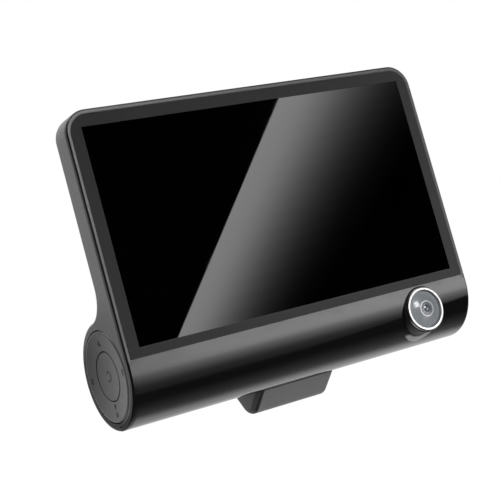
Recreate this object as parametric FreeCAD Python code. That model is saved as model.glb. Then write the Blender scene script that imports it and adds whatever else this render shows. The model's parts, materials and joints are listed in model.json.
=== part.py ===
"""Dash camera: a 4 inch screen on a thin slab that grows out of a round bar.

The bar holds a cabin camera, a pad of keys on its left end and, in the middle of its back, a road camera
that tilts about the bar's axis. A T-slot socket on the back takes the windscreen bracket. Millimetres.

Everything is drawn about the middle of the screen window: +X to the right as the driver sees it, +Y towards
the road and +Z up. save() then moves the origin to the middle of the bracket socket's floor.
"""

import math
import os

import FreeCAD
import Part
from FreeCAD import Vector

# ---- driving dimensions --------------------------------------------------------------------------------
WINDOW_W = 88.0  # visible screen, 16:9
WINDOW_H = 49.5
HALF_W = 47.8  # half the width of the whole body
TOP_Z = 28.7  # top edge of the slab
CORNER_R = 5.5  # top corners seen from the front
SLAB_T = 7.3  # thickness of the slab
WALL = 1.3  # shell walls
BAR_R = 12.4  # the bar's outer radius
BAR_Y = BAR_R  # the bar is tangent to the front face, y = 0
BAR_Z = -28.85
NECK_R = 7.0  # hollow where the slab's back meets the bar
RIM = 0.9  # how far the front cover wraps round the sides
SEAM = 0.22  # groove between the two covers
EDGE_R = 0.42  # front edge of the rim
LIP_CHAMFER = 0.12  # inner edge of the rim, round the bezel
BACK_EDGE_R = 0.8  # back edges of the rear cover

BEZEL_HALF_W = 46.8
BEZEL_TOP = 27.6
BEZEL_BOTTOM = -26.9
BEZEL_FRONT = 0.1
BEZEL_BACK = 0.6
GLASS_FRONT = 0.16
PLATE_BACK = 1.7  # back of the front cover's inner plate
PANEL_HALF_W, PANEL_Z0, PANEL_Z1 = 45.0, -26.0, 25.9
BOARD_FRONT, BOARD_BACK = 4.2, 5.0

INNER_R = BAR_R - WALL
INNER_HALF_W = HALF_W - WALL
FIT = 0.2  # clearance between pieces that slide into each other

# Road camera. Lengths along its optical axis are measured from the bar's axis.
TILT_DOWN_DEG = 38.0  # its rest position, against the lower stop
CAM_HALF_W = 11.0
CAM_HALF_H = 9.6
CAM_REACH = 18.5
CAM_CORNER_R = 3.8
CAM_EDGE_R = 1.4
CAP_FROM = 17.0
DRUM_R = 10.7
DRUM_HALF_W = 10.6
DRUM_BACK = -1.6
NECK_HALF_H = 8.0
LIP_R = BAR_R + 0.15  # the box stands off the bar by this
SLOT_HALF_W = 10.9  # window in the rear cover
SLOT_TOP_DEG = 60.0
PIN_R = 2.2
PIN_END = 13.3
BRACKET_X0, BRACKET_X1 = 11.0, 13.0
CAP_SCREWS = ((-8.4, 6.4), (8.4, -6.4))
LENS_HOLE_R = 6.1

# Screws that hold the two covers together, from the back of the bar
POST_Z = -30.0
POST_XS = (-39.2, -16.5, 16.5, 40.0)
POST_R = 1.9
BOSS_R = 2.1
POST_END = 12.0
EAR_T = 1.2
SCREW_R = 0.97
HEAD_R = 1.6
HEAD_SEAT_Y = 20.6

# Bracket socket on the back of the slab
SOCKET_HALF_W = 10.0
SOCKET_Z0, SOCKET_Z1 = 8.0, 24.0
SOCKET_FLOOR = 0.8
T_HALF_W, T_DEPTH = 7.0, 2.4
LIP_HALF_GAP, LIP_T = 4.5, 2.0
SLOT_END_Z = 10.0
SOCKET_SCREW_ZS = (13.5, 20.5)
SOCKET_FACE_Y = SLAB_T + SOCKET_FLOOR + T_DEPTH + LIP_T
ORIGIN = Vector(0, SLAB_T + SOCKET_FLOOR, (SLOT_END_Z + SOCKET_Z1) / 2)

# Cabin camera
CABIN_X, CABIN_Z = 32.45, -32.85
CABIN_RING_R, CABIN_RING_INNER = 5.5, 4.62
CABIN_COLLAR_R = 5.7
CABIN_RING_Y = -0.8  # front of the bright ring
CABIN_COLLAR_Y = CABIN_RING_Y + 0.7

# Keys, by depth from the bar's left end
KEY_R = 10.4
KEY_HOLE_R = 10.6
KEY_FLANGE_R = 10.85
OK_R = 5.5
OK_GAP = 0.25
KEY_PLUNGER_AT = 9.2
RIB_R = 0.5
RING_AXIS = 2.5
GIMBAL_AXIS = 3.9
RIB_FROM, RIB_TO = 6.55, 7.85
DIRECTIONS = ((1, 0), (0, 1), (-1, 0), (0, -1))
DISH_DEPTH = 0.5  # the pad is one shallow spherical dish, this deep at its middle
DISH_EDGE_R, DISH_EDGE_DEPTH = 9.9, -0.12
KEY_DISC_R = 10.5  # the fixed discs behind the keys
FRAME_D0, FRAME_D1 = 4.4, 5.1
MAT_D1 = 5.6
BOARD_D1 = 6.3
SCREW_SPOTS = ((6.4, 6.4), (-6.4, -6.4))

# Ports, facing up behind the slab
PORT_Y = 13.35
USB_X, USB_W, USB_T = -24.0, 7.7, 3.9
JACK_X, JACK_BORE_R, JACK_COLLAR_R = -32.6, 1.3, 2.2
CARD_X, CARD_W = 26.0, 11.6
PORT_TOP = -16.55

# Loudspeaker, in the right end of the bar
SPEAKER_Y0, SPEAKER_Y1 = 17.2, 20.6
SPEAKER_X0, SPEAKER_X1 = 20.0, 35.6
SPEAKER_Z0, SPEAKER_Z1 = -35.2, -24.2

BAR_AXIS = Vector(0, BAR_Y, BAR_Z)
X_AXIS, Y_AXIS = Vector(1, 0, 0), Vector(0, 1, 0)
BIG = 200.0


# ---- helpers -------------------------------------------------------------------------------------------
def box(x0, x1, y0, y1, z0, z1):
    return Part.makeBox(x1 - x0, y1 - y0, z1 - z0, Vector(x0, y0, z0))


def rod(start, end, radius):
    """A cylinder from one point to another."""
    along = end - start
    return Part.makeCylinder(radius, along.Length, start, along)


def tube(start, end, outer, inner):
    return rod(start, end, outer).cut(rod(start, end, inner))


def rod_y(x, z, y0, y1, radius):
    return rod(Vector(x, y0, z), Vector(x, y1, z), radius)


def rod_x(y, z, x0, x1, radius):
    return rod(Vector(x0, y, z), Vector(x1, y, z), radius)


def rod_z(x, y, z0, z1, radius):
    return rod(Vector(x, y, z0), Vector(x, y, z1), radius)


def rounded_plate(half_w, z0, z1, y0, y1, top_r, bottom_r=0.0):
    """A plate facing +Y whose top and bottom corners have their own radii."""
    plate = box(-half_w, half_w, y0, y1, z0, z1)
    for radius, level in ((top_r, z1), (bottom_r, z0)):
        if radius:
            corners = [e for e in plate.Edges if is_along_y(e) and abs(e.Vertexes[0].Z - level) < 1e-6]
            plate = plate.makeFillet(radius, corners)
    return plate


def is_along_y(edge):
    a, b = edge.Vertexes[0].Point, edge.Vertexes[-1].Point
    return abs(a.x - b.x) < 1e-6 and abs(a.z - b.z) < 1e-6


def wire(points_and_arcs):
    """A closed wire through points; an (end, via) pair makes an arc through via to end."""
    edges, at = [], points_and_arcs[0]
    for step in points_and_arcs[1:] + [points_and_arcs[0]]:
        if isinstance(step, tuple):
            end, via = step
            edges.append(Part.Arc(at, via, end).toShape())
        else:
            end = step
            edges.append(Part.LineSegment(at, end).toShape())
        at = end
    return Part.Wire(edges)


def prism_x(outline, half_w):
    """The outline, drawn in the plane x = 0, carried half_w to each side."""
    face = Part.Face(outline)
    face.translate(Vector(-half_w, 0, 0))
    return face.extrude(Vector(2 * half_w, 0, 0))


def on_bar(radius, degrees):
    """A point round the bar's axis; 0 degrees is towards the road and 90 is up."""
    a = math.radians(degrees)
    return Vector(0, BAR_Y + radius * math.cos(a), BAR_Z + radius * math.sin(a))


def side_profile(inset):
    """The slab, neck and bar seen from the side, moved inwards by inset."""
    bar_r, neck_r = BAR_R - inset, NECK_R + inset
    back = SLAB_T - inset
    neck_y = back + neck_r
    neck_z = BAR_Z + math.sqrt((bar_r + neck_r) ** 2 - (neck_y - BAR_Y) ** 2)
    neck = Vector(0, neck_y, neck_z)
    to_bar = BAR_AXIS - neck
    to_bar.normalize()
    middle = to_bar + Vector(0, -1, 0)
    middle.normalize()
    meets_bar = neck + to_bar * neck_r
    top = TOP_Z - inset
    return wire([
        Vector(0, inset, top),
        Vector(0, inset, BAR_Z),
        (meets_bar, on_bar(bar_r, -60)),
        (Vector(0, back, neck_z), neck + middle * neck_r),
        Vector(0, back, top),
    ])


def front_zone(depth):
    """Everything in front of the line where the covers meet, depth inside the front face."""
    r = BAR_R - depth
    return prism_x(wire([
        Vector(0, -5, TOP_Z + 5),
        Vector(0, depth, TOP_Z + 5),
        Vector(0, depth, BAR_Z),
        (on_bar(r, -90), on_bar(r, -135)),
        Vector(0, BAR_Y, BAR_Z - BAR_R - 5),
        Vector(0, -5, BAR_Z - BAR_R - 5),
    ]), BIG)


def body_solid(inset, half_w, top_corner_r):
    """The whole body's volume, moved inwards by inset."""
    top = TOP_Z - inset
    outline = rounded_plate(half_w, BAR_Z - BAR_R - 1, top, -1, 2 * BAR_R + 1, top_corner_r)
    return prism_x(side_profile(inset), half_w).common(outline)


def fuse(first, *others):
    return first.fuse(list(others)).removeSplitter() if others else first


def save(name, *solids):
    """Writes one node, moved so that the origin is on the bracket socket's floor."""
    shape = solids[0] if len(solids) == 1 else Part.makeCompound(list(solids))
    moved = shape.copy()
    moved.translate(-ORIGIN)
    for solid in moved.Solids:
        if not solid.isValid() or solid.Volume <= 0:
            raise ValueError(name + " holds a bad solid")
    moved.exportStep("parts/" + name + ".step")
    print(name, len(moved.Solids), round(sum(s.Volume for s in moved.Solids), 1))


# ---- covers --------------------------------------------------------------------------------------------
def front_part(body):
    """The front cover's outside, with its rim rounded."""
    part = body.common(front_zone(RIM)).Solids[0]
    edges = []
    for edge in part.Edges:
        points = edge.discretize(7)
        on_front = all(p.y < 1e-4 for p in points)
        at_side = all(abs(abs(p.x) - HALF_W) < 1e-4 for p in points)
        on_bar_skin = all(from_axis(p) > BAR_R - 1e-4 for p in points)
        on_rim = on_front and (at_side or points[3].z > TOP_Z - CORNER_R)
        if on_rim or at_side and on_bar_skin and edge.Length > 2:
            edges.append(edge)
    return part.makeFillet(EDGE_R, edges)


def from_axis(point):
    return math.hypot(point.y - BAR_Y, point.z - BAR_Z)


def rear_part(body):
    """The rear cover's outside, with its back edges rounded."""
    part = body.cut(front_zone(RIM)).Solids[0]
    edges = []
    for edge in part.Edges:
        points = edge.discretize(7)
        middle = points[3]
        at_side = all(abs(abs(p.x) - HALF_W) < 1e-4 for p in points)
        outside = middle.y > RIM + 0.5 and (middle.z > BAR_Z or from_axis(middle) > BAR_R - 0.1)
        at_top_back = all(abs(p.y - SLAB_T) < 1e-4 for p in points) and middle.z > TOP_Z - CORNER_R
        climbs = abs(points[0].z - points[6].z) > 1
        if at_side and outside and climbs or at_top_back and not at_side:
            edges.append(edge)
    return part.makeFillet(BACK_EDGE_R, edges)


def seam_groove(body):
    """The shallow groove that shows where the covers meet, on the sides and top."""
    strip = front_zone(RIM + SEAM).cut(front_zone(RIM))
    core = body_solid(0, HALF_W - SEAM, CORNER_R - SEAM).common(
        box(-BIG, BIG, -5, BIG, -BIG, TOP_Z - SEAM))
    return strip.common(body.cut(core))


def front_cover(body):
    """Rim, plate behind the bezel and the lower front quarter of the bar, with its screw posts."""
    skin = front_part(body)
    half = INNER_HALF_W - FIT
    plate = rounded_plate(half, BAR_Z, TOP_Z - WALL - FIT, RIM - 0.2, PLATE_BACK, CORNER_R - WALL)
    quarter = rod_x(BAR_Y, BAR_Z, -half, half, BAR_R - 0.3).cut(rod_x(BAR_Y, BAR_Z, -BIG, BIG, INNER_R))
    quarter = quarter.common(box(-BIG, BIG, -5, BAR_Y, -BIG, BAR_Z + 1.5))
    cover = fuse(skin, plate, quarter)
    cover = cover.cut(rounded_plate(BEZEL_HALF_W, BEZEL_BOTTOM, BEZEL_TOP, -1, BEZEL_BACK, CORNER_R - 1))
    cover = cover.makeChamfer(LIP_CHAMFER, [e for e in cover.Edges if is_on_lip(e)])
    glass_gap = 0.1
    w, h = WINDOW_W / 2 + glass_gap, WINDOW_H / 2 + glass_gap
    cover = cover.cut(box(-w, w, -1, RIM, -h, h))
    seat = 0.9
    cover = cover.cut(box(-w + seat, w - seat, -1, 5, -h + seat, h - seat))
    posts = [rod_y(x, POST_Z, 1.0, POST_END, POST_R) for x in POST_XS]
    cover = fuse(cover, *posts)
    for x in POST_XS:
        cover = cover.cut(rod_y(x, POST_Z, 4.0, BIG, SCREW_R + 0.03))
    cover = cover.cut(rod_x(BAR_Y, BAR_Z, -INNER_HALF_W - 1, -INNER_HALF_W + 8, INNER_R))
    return cover.cut(rod_y(CABIN_X, CABIN_Z, -5, 9, CABIN_COLLAR_R + 0.05))


def is_on_lip(edge):
    """True for the front edges of the bezel's recess at the sides and top."""
    points = edge.discretize(5)
    inside = all(abs(p.x) < BEZEL_HALF_W + 1e-3 and p.z < BEZEL_TOP + 1e-3 for p in points)
    return inside and all(abs(p.y) < 1e-4 for p in points) and points[2].z > BEZEL_BOTTOM + 1


def camera_window():
    """The opening that the road camera's neck swings in."""
    ring = rod_x(BAR_Y, BAR_Z, -SLOT_HALF_W, SLOT_HALF_W, BAR_R + 2)
    ring = ring.cut(rod_x(BAR_Y, BAR_Z, -BIG, BIG, INNER_R - 1.0))
    far = 3 * BAR_R
    wedge = prism_x(wire([
        BAR_AXIS,
        on_bar(far, -90),
        on_bar(far, -45),
        on_bar(far, 0),
        on_bar(far, SLOT_TOP_DEG / 2),
        on_bar(far, SLOT_TOP_DEG),
    ]), BIG)
    return ring.common(wedge)


def vent_slots():
    """Cooling slots through the back of the slab, in a group each side of the socket."""
    slots = []
    for side in (-1, 1):
        for row in range(5):
            z = 6.0 + 3.6 * row
            a, b = side * 18.0, side * 32.0
            low, high = min(a, b), max(a, b)
            slots.append(box(low, high, SLAB_T - WALL - 1, SLAB_T + 1, z - 0.6, z + 0.6))
    return slots


def speaker_slots():
    """Slots through the back of the bar, in front of the loudspeaker."""
    return [box(x - 0.5, x + 0.5, BAR_Y + 8.9, BAR_Y + 15, BAR_Z - 4.2 - 1.0, BAR_Z + 4.2 - 1.0)
            for x in (22.0 + 2.0 * i for i in range(7))]


def rear_cover(body):
    """Back and side walls, both ends of the bar and its road-facing side."""
    shell = rear_part(body).cut(seam_groove(body))
    shell = shell.cut(body_solid(WALL, INNER_HALF_W, CORNER_R - WALL))
    inner_front = rounded_plate(INNER_HALF_W, BAR_Z, TOP_Z - WALL, -5, SLAB_T - WALL - 1, CORNER_R - WALL)
    inner_bar = rod_x(BAR_Y, BAR_Z, -INNER_HALF_W, INNER_HALF_W, INNER_R)
    quarter = rod_x(BAR_Y, BAR_Z, -INNER_HALF_W, INNER_HALF_W, BAR_R + 1).common(
        box(-BIG, BIG, -5, BAR_Y, -BIG, BAR_Z))
    shell = shell.cut(inner_front).cut(inner_bar).cut(quarter)
    bosses = []
    for x in POST_XS:
        start = POST_END + (EAR_T if abs(x) < 20 else 0.1)
        bosses.append(rod_y(x, POST_Z, start, BAR_Y + INNER_R + 0.6, BOSS_R))
    shell = fuse(shell, *bosses)
    for x in POST_XS:
        shell = shell.cut(rod_y(x, POST_Z, 0, BIG, SCREW_R + 0.15))
        shell = shell.cut(rod_y(x, POST_Z, HEAD_SEAT_Y, BIG, HEAD_R + 0.15))
    shell = shell.cut(camera_window())
    shell = shell.cut(rod_x(BAR_Y, BAR_Z, -BIG, -INNER_HALF_W + 1, KEY_HOLE_R))
    gap = 0.15
    usb = box(USB_X - USB_W / 2 - gap, USB_X + USB_W / 2 + gap,
              PORT_Y - USB_T / 2 - gap, PORT_Y + USB_T / 2 + gap, BAR_Z + 8, -10)
    jack = rod_z(JACK_X, PORT_Y, BAR_Z + 8, -10, JACK_COLLAR_R + gap)
    card = box(CARD_X - CARD_W / 2, CARD_X + CARD_W / 2, PORT_Y - 1.75, PORT_Y - 0.35, BAR_Z + 8, -10)
    microphone = rod_z(-17.2, PORT_Y, BAR_Z + 8, -10, 0.5)
    shell = shell.cut([usb, jack, card, microphone])
    for z in SOCKET_SCREW_ZS:
        shell = shell.cut(rod_y(0, z, 0, BIG, 0.8))
    return shell.cut(vent_slots() + speaker_slots())


def bracket_socket():
    """A T-slot, open at the top, that the windscreen bracket's foot slides down into."""
    y0 = SLAB_T
    block = rounded_plate(SOCKET_HALF_W, SOCKET_Z0, SOCKET_Z1, y0, SOCKET_FACE_Y, 2.0, 2.0)
    front_edges = [e for e in block.Edges if all(abs(p.y - SOCKET_FACE_Y) < 1e-4 for p in e.discretize(3))]
    block = block.makeFillet(0.5, front_edges)
    floor = y0 + SOCKET_FLOOR
    block = block.cut(box(-T_HALF_W, T_HALF_W, floor, floor + T_DEPTH, SLOT_END_Z, BIG))
    block = block.cut(box(-LIP_HALF_GAP, LIP_HALF_GAP, floor, BIG, SLOT_END_Z, BIG))
    for z in SOCKET_SCREW_ZS:
        block = block.cut(rod_y(0, z, 0, BIG, 0.8))
        block = block.cut(Part.makeCone(0.8, 1.55, 0.75, Vector(0, floor - 0.75, z), Y_AXIS))
    return block


def socket_screws():
    floor = SLAB_T + SOCKET_FLOOR
    screws = []
    for z in SOCKET_SCREW_ZS:
        head = Part.makeCone(0.78, 1.5, 0.72, Vector(0, floor - 0.74, z), Y_AXIS)
        shaft = rod_y(0, z, SLAB_T - WALL + 0.1, floor - 0.5, 0.78)
        cross = [box(-0.75, 0.75, floor - 0.35, floor + 1, z - 0.15, z + 0.15),
                 box(-0.15, 0.15, floor - 0.35, floor + 1, z - 0.75, z + 0.75)]
        screws.append(fuse(head, shaft).cut(cross))
    return screws


def case_screws():
    """Four pan-head screws from the back of the bar into the front cover's posts."""
    screws = []
    for x in POST_XS:
        head = rod_y(x, POST_Z, HEAD_SEAT_Y, HEAD_SEAT_Y + 1.2, HEAD_R)
        outer = [e for e in head.Edges if abs(e.CenterOfMass.y - HEAD_SEAT_Y - 1.2) < 1e-6]
        head = head.makeFillet(0.4, outer)
        shaft = rod_y(x, POST_Z, 5.0, HEAD_SEAT_Y + 0.1, SCREW_R)
        top = HEAD_SEAT_Y + 1.2
        cross = [box(x - 0.9, x + 0.9, top - 0.6, top + 1, POST_Z - 0.18, POST_Z + 0.18),
                 box(x - 0.18, x + 0.18, top - 0.6, top + 1, POST_Z - 0.9, POST_Z + 0.9)]
        screws.append(fuse(head, shaft).cut(cross))
    return screws


# ---- screen --------------------------------------------------------------------------------------------
def screen_bezel():
    """Flat matt frame round the screen; square at the bottom, where it meets the bar."""
    gap = 0.03
    plate = rounded_plate(BEZEL_HALF_W - gap, BEZEL_BOTTOM + gap, BEZEL_TOP - gap,
                          BEZEL_FRONT, BEZEL_BACK, CORNER_R - 1 - gap)
    w, h = WINDOW_W / 2, WINDOW_H / 2
    return plate.cut(box(-w, w, -1, 2, -h, h))


def display_glass():
    gap = 0.04
    w, h = WINDOW_W / 2 - gap, WINDOW_H / 2 - gap
    return box(-w, w, GLASS_FRONT, RIM, -h, h)


def display_gasket():
    w, h = WINDOW_W / 2 + 0.4, WINDOW_H / 2 + 0.4
    frame = box(-PANEL_HALF_W, PANEL_HALF_W, PLATE_BACK, PLATE_BACK + 0.3, PANEL_Z0, PANEL_Z1)
    return frame.cut(box(-w, w, 0, 5, -h, h))


def display_panel():
    return box(-PANEL_HALF_W, PANEL_HALF_W, 2.0, 3.0, PANEL_Z0, PANEL_Z1)


def backlight_tray():
    """Pressed tray that holds the light guide, with a lip round its edge."""
    tray = box(-PANEL_HALF_W, PANEL_HALF_W, 3.0, 4.0, PANEL_Z0, PANEL_Z1)
    return tray.cut(box(-PANEL_HALF_W + 2, PANEL_HALF_W - 2, 3.8, 5, PANEL_Z0 + 2, PANEL_Z1 - 2))


def display_flex():
    """Ribbon folded up the back of the tray to the main board."""
    return box(12.0, 30.0, 4.02, 4.14, -25.0, -12.0)


def main_board():
    board = box(-42.0, 42.0, BOARD_FRONT, BOARD_BACK, -17.0, 25.0)
    for x in (-39.5, 39.5):
        for z in (-14.5, 22.5):
            board = board.cut(rod_y(x, z, 0, 9, 0.9))
    return board


def shield_can():
    can = box(-30.0, -8.0, BOARD_BACK, BOARD_BACK + 0.8, -8.0, 4.0)
    return can.cut(box(-29.75, -8.25, BOARD_BACK - 1, BOARD_BACK + 0.6, -7.75, 3.75))


def board_chips():
    """Processor, memory and power parts on the main board."""
    places = ((6.0, -10.0, 5.0), (22.0, -9.0, 4.0), (22.0, 2.0, 3.0), (33.0, -6.0, 2.0), (-36.0, 10.0, 2.0))
    top = BOARD_BACK + 0.7
    return [box(x - half, x + half, BOARD_BACK, top, z - half, z + half) for x, z, half in places]


# ---- ports, sound and power ----------------------------------------------------------------------------
def port_board():
    return box(-36.9, -19.4, PORT_Y - 3.0, PORT_Y - 2.0, -27.6, -19.6)


def usb_socket():
    """Mini USB: a folded steel shell with a plastic tongue."""
    x0, x1 = USB_X - USB_W / 2, USB_X + USB_W / 2
    y0, y1 = PORT_Y - USB_T / 2, PORT_Y + USB_T / 2
    shell = box(x0, x1, y0, y1, PORT_TOP - 9.0, PORT_TOP)
    shell = shell.makeFillet(0.7, [e for e in shell.Edges if is_along_z(e)])
    mouth = box(x0 + 0.4, x1 - 0.4, y0 + 0.4, y1 - 0.4, PORT_TOP - 7.5, PORT_TOP + 1)
    mouth = mouth.makeFillet(0.5, [e for e in mouth.Edges if is_along_z(e)])
    return shell.cut(mouth)


def usb_tongue():
    return box(USB_X - 2.2, USB_X + 2.2, PORT_Y - 0.7, PORT_Y + 0.5, PORT_TOP - 7.5, PORT_TOP - 1.5)


def is_along_z(edge):
    a, b = edge.Vertexes[0].Point, edge.Vertexes[-1].Point
    return abs(a.x - b.x) < 1e-6 and abs(a.y - b.y) < 1e-6


def av_jack():
    """2.5 mm socket for the rear camera's lead."""
    body = box(JACK_X - 2.6, JACK_X + 2.6, PORT_Y - 2.0, PORT_Y + 2.4, -27.4, -18.9)
    collar = rod_z(JACK_X, PORT_Y, -19.5, PORT_TOP, JACK_COLLAR_R)
    return fuse(body, collar).cut(rod_z(JACK_X, PORT_Y, -26.6, 0, JACK_BORE_R))


def microphone():
    return rod_z(-17.2, PORT_Y, -20.4, -18.9, 1.4)


def card_board():
    return box(19.2, 36.6, PORT_Y - 3.2, PORT_Y - 2.2, -33.0, -18.9)


def card_socket():
    """Push-push memory card socket: a steel lid over a slot."""
    x0, x1 = CARD_X - 6.9, CARD_X + 6.9
    y0 = PORT_Y - 2.2
    shell = box(x0, x1, y0, y0 + 1.9, -32.8, -18.1)
    return shell.cut(box(CARD_X - 5.6, CARD_X + 5.6, y0 + 0.5, y0 + 1.6, -31.5, 0))


def speaker_frame():
    frame = box(SPEAKER_X0, SPEAKER_X1, SPEAKER_Y0, SPEAKER_Y1, SPEAKER_Z0, SPEAKER_Z1)
    frame = frame.makeFillet(2.0, [e for e in frame.Edges if is_along_y(e)])
    cone_space = box(SPEAKER_X0 + 1, SPEAKER_X1 - 1, SPEAKER_Y1 - 1.6, 30, SPEAKER_Z0 + 1, SPEAKER_Z1 - 1)
    return frame.cut(cone_space)


def speaker_cone():
    x, z = (SPEAKER_X0 + SPEAKER_X1) / 2, (SPEAKER_Z0 + SPEAKER_Z1) / 2
    y = SPEAKER_Y1 - 1.6
    return fuse(box(SPEAKER_X0 + 1.2, SPEAKER_X1 - 1.2, y, y + 0.3, SPEAKER_Z0 + 1.2, SPEAKER_Z1 - 1.2),
                rod_y(x, z, y + 0.2, y + 0.9, 2.6))


def battery():
    cell = box(-37.0, -15.0, 7.2, 17.6, -38.0, -32.6)
    return cell.makeFillet(1.2, [e for e in cell.Edges if is_along_x(e)])


def is_along_x(edge):
    a, b = edge.Vertexes[0].Point, edge.Vertexes[-1].Point
    return abs(a.y - b.y) < 1e-6 and abs(a.z - b.z) < 1e-6


# ---- cabin camera --------------------------------------------------------------------------------------
def cabin_point(y):
    return Vector(CABIN_X, y, CABIN_Z)


def cabin_revolve(profile):
    """Turns (radius, y) points about the cabin camera's axis."""
    points = [Vector(CABIN_X + r, y, CABIN_Z) for r, y in profile]
    face = Part.Face(Part.makePolygon(points + [points[0]]))
    return face.revolve(cabin_point(0), Y_AXIS, 360)


def dome(centre, facing, radius, rise, thickness):
    """A glass cap of the given rim radius that bulges along facing, with a flat back."""
    ball_r = (radius ** 2 + rise ** 2) / (2 * rise)
    half = math.asin(radius / ball_r) / 2
    crown = centre + facing * rise
    via = crown + facing * (ball_r * (math.cos(half) - 1)) + X_AXIS * (ball_r * math.sin(half))
    back = centre - facing * thickness
    rim = centre + X_AXIS * radius
    outline = wire([crown, (rim, via), back + X_AXIS * radius, back])
    return Part.Face(outline).revolve(centre, facing, 360)


def cabin_lens_collar():
    return cabin_revolve([
        (CABIN_RING_INNER, CABIN_COLLAR_Y), (CABIN_COLLAR_R - 0.25, CABIN_COLLAR_Y),
        (CABIN_COLLAR_R, CABIN_COLLAR_Y + 0.25), (CABIN_COLLAR_R, 7.4),
        (CABIN_RING_INNER + 0.2, 7.4), (CABIN_RING_INNER + 0.2, 1.2), (CABIN_RING_INNER, 1.2),
    ])


def cabin_lens_ring():
    """Bright trim ring, rounded at its front."""
    ring = cabin_revolve([
        (CABIN_RING_INNER, CABIN_COLLAR_Y), (CABIN_RING_INNER, CABIN_RING_Y + 0.12),
        (CABIN_RING_INNER + 0.12, CABIN_RING_Y), (CABIN_RING_R - 0.3, CABIN_RING_Y),
        (CABIN_RING_R, CABIN_RING_Y + 0.3), (CABIN_RING_R, CABIN_COLLAR_Y),
    ])
    return ring


def cabin_lens_glass():
    return dome(cabin_point(CABIN_COLLAR_Y), Vector(0, -1, 0), CABIN_RING_INNER - 0.02, 1.25, 0.5)


def cabin_lens_baffle():
    """Stepped funnel between the front glass and the inner lens."""
    front = CABIN_COLLAR_Y + 0.5
    return cabin_revolve([
        (CABIN_RING_INNER - 0.05, front), (CABIN_RING_INNER - 0.05, 1.2), (4.7, 1.3), (4.7, 7.0),
        (2.0, 7.0), (2.0, 2.2), (2.35, 2.2), (2.35, 1.6), (3.2, 1.3), (3.2, 0.8), (4.1, 0.5),
        (4.1, front),
    ])


def cabin_lens_element():
    return dome(cabin_point(1.9), Vector(0, -1, 0), 2.3, 0.7, 0.28)


def cabin_lens_seat():
    """Body of the small lens behind the funnel."""
    return rod_y(CABIN_X, CABIN_Z, 2.25, 7.4, 1.95)


def cabin_sensor_board():
    board = box(CABIN_X - 6.5, CABIN_X + 4.9, 7.6, 8.4, CABIN_Z - 4.4, CABIN_Z + 5.6)
    chip = box(CABIN_X - 2.5, CABIN_X + 2.5, 7.42, 7.6, CABIN_Z - 2.5, CABIN_Z + 2.5)
    return fuse(board, chip)


def cabin_camera_flex():
    return box(CABIN_X - 4.5, CABIN_X + 1.5, 8.45, 8.6, CABIN_Z - 2, CABIN_Z + 9.5)


# ---- keys on the left end ------------------------------------------------------------------------------
def key_x(depth):
    return -HALF_W + depth


def key_revolve(profile):
    """Turns (radius, depth) points about the bar's axis at its left end."""
    points = [Vector(key_x(d), BAR_Y, BAR_Z + r) for r, d in profile]
    face = Part.Face(Part.makePolygon(points + [points[0]]))
    return face.revolve(BAR_AXIS, X_AXIS, 360)


def key_disc(d0, d1, radius):
    return rod_x(BAR_Y, BAR_Z, key_x(d0), key_x(d1), radius)


def key_post(along_y, along_z, d0, d1, radius):
    return rod_x(BAR_Y + along_y, BAR_Z + along_z, key_x(d0), key_x(d1), radius)


def dish_depth(radius):
    """Depth of the dished front of the keys at a distance from the middle of the pad."""
    fall = DISH_DEPTH - DISH_EDGE_DEPTH
    ball_r = (DISH_EDGE_R ** 2 + fall ** 2) / (2 * fall)
    return DISH_DEPTH - (ball_r - math.sqrt(ball_r ** 2 - radius ** 2))


def dish_line(start, end, steps):
    """Points (radius, depth) along the dish."""
    radii = [start + (end - start) * i / steps for i in range(steps + 1)]
    return [(r, dish_depth(r)) for r in radii]


def nav_ring():
    """Four-way rocker: a dished ring with a plunger under each direction."""
    inner = OK_R + OK_GAP
    soft = 0.12
    ring = key_revolve([
        (inner, dish_depth(inner) + soft), *dish_line(inner + soft, DISH_EDGE_R, 8),
        (KEY_R - 0.12, -0.05), (KEY_R, 0.15),
        (KEY_R, 1.9), (KEY_FLANGE_R, 1.9), (KEY_FLANGE_R, 2.3), (inner, 2.3),
    ])
    plungers = [key_post(KEY_PLUNGER_AT * y, KEY_PLUNGER_AT * z, 2.2, 4.95, 0.7) for y, z in DIRECTIONS]
    ring = fuse(ring, *plungers)
    groove = [rib_along_y(side, RING_AXIS, RIB_R + 0.06, 0.2) for side in (-1, 1)]
    return ring.cut(groove)


def rib_along_y(side, depth, radius, longer=0.0):
    """A round rib on the rocking axis that runs fore and aft."""
    a, b = RIB_FROM - longer, RIB_TO + longer
    x = key_x(depth)
    return rod(Vector(x, BAR_Y + side * a, BAR_Z), Vector(x, BAR_Y + side * b, BAR_Z), radius)


def rib_along_z(side, depth, radius, longer=0.0):
    """A round rib on the rocking axis that runs up and down."""
    a, b = RIB_FROM - longer, RIB_TO + longer
    x = key_x(depth)
    return rod(Vector(x, BAR_Y, BAR_Z + side * a), Vector(x, BAR_Y, BAR_Z + side * b), radius)


def rocker_gimbal():
    """Thin ring with two round ribs on each face; the rocker rides on one pair and it rocks on the other."""
    plate = key_revolve([(6.4, 2.95), (8.0, 2.95), (8.0, 3.5), (6.4, 3.5)])
    pieces = [plate]
    half = RIB_R
    for side in (-1, 1):
        pieces.append(rib_along_y(side, RING_AXIS, RIB_R))
        pieces.append(rib_along_z(side, GIMBAL_AXIS, RIB_R))
        near, far = sorted((side * RIB_FROM, side * RIB_TO))
        pieces.append(box(key_x(RING_AXIS), key_x(3.0),
                          BAR_Y + near, BAR_Y + far, BAR_Z - half, BAR_Z + half))
        pieces.append(box(key_x(3.45), key_x(GIMBAL_AXIS),
                          BAR_Y - half, BAR_Y + half, BAR_Z + near, BAR_Z + far))
    return fuse(*pieces)


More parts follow.
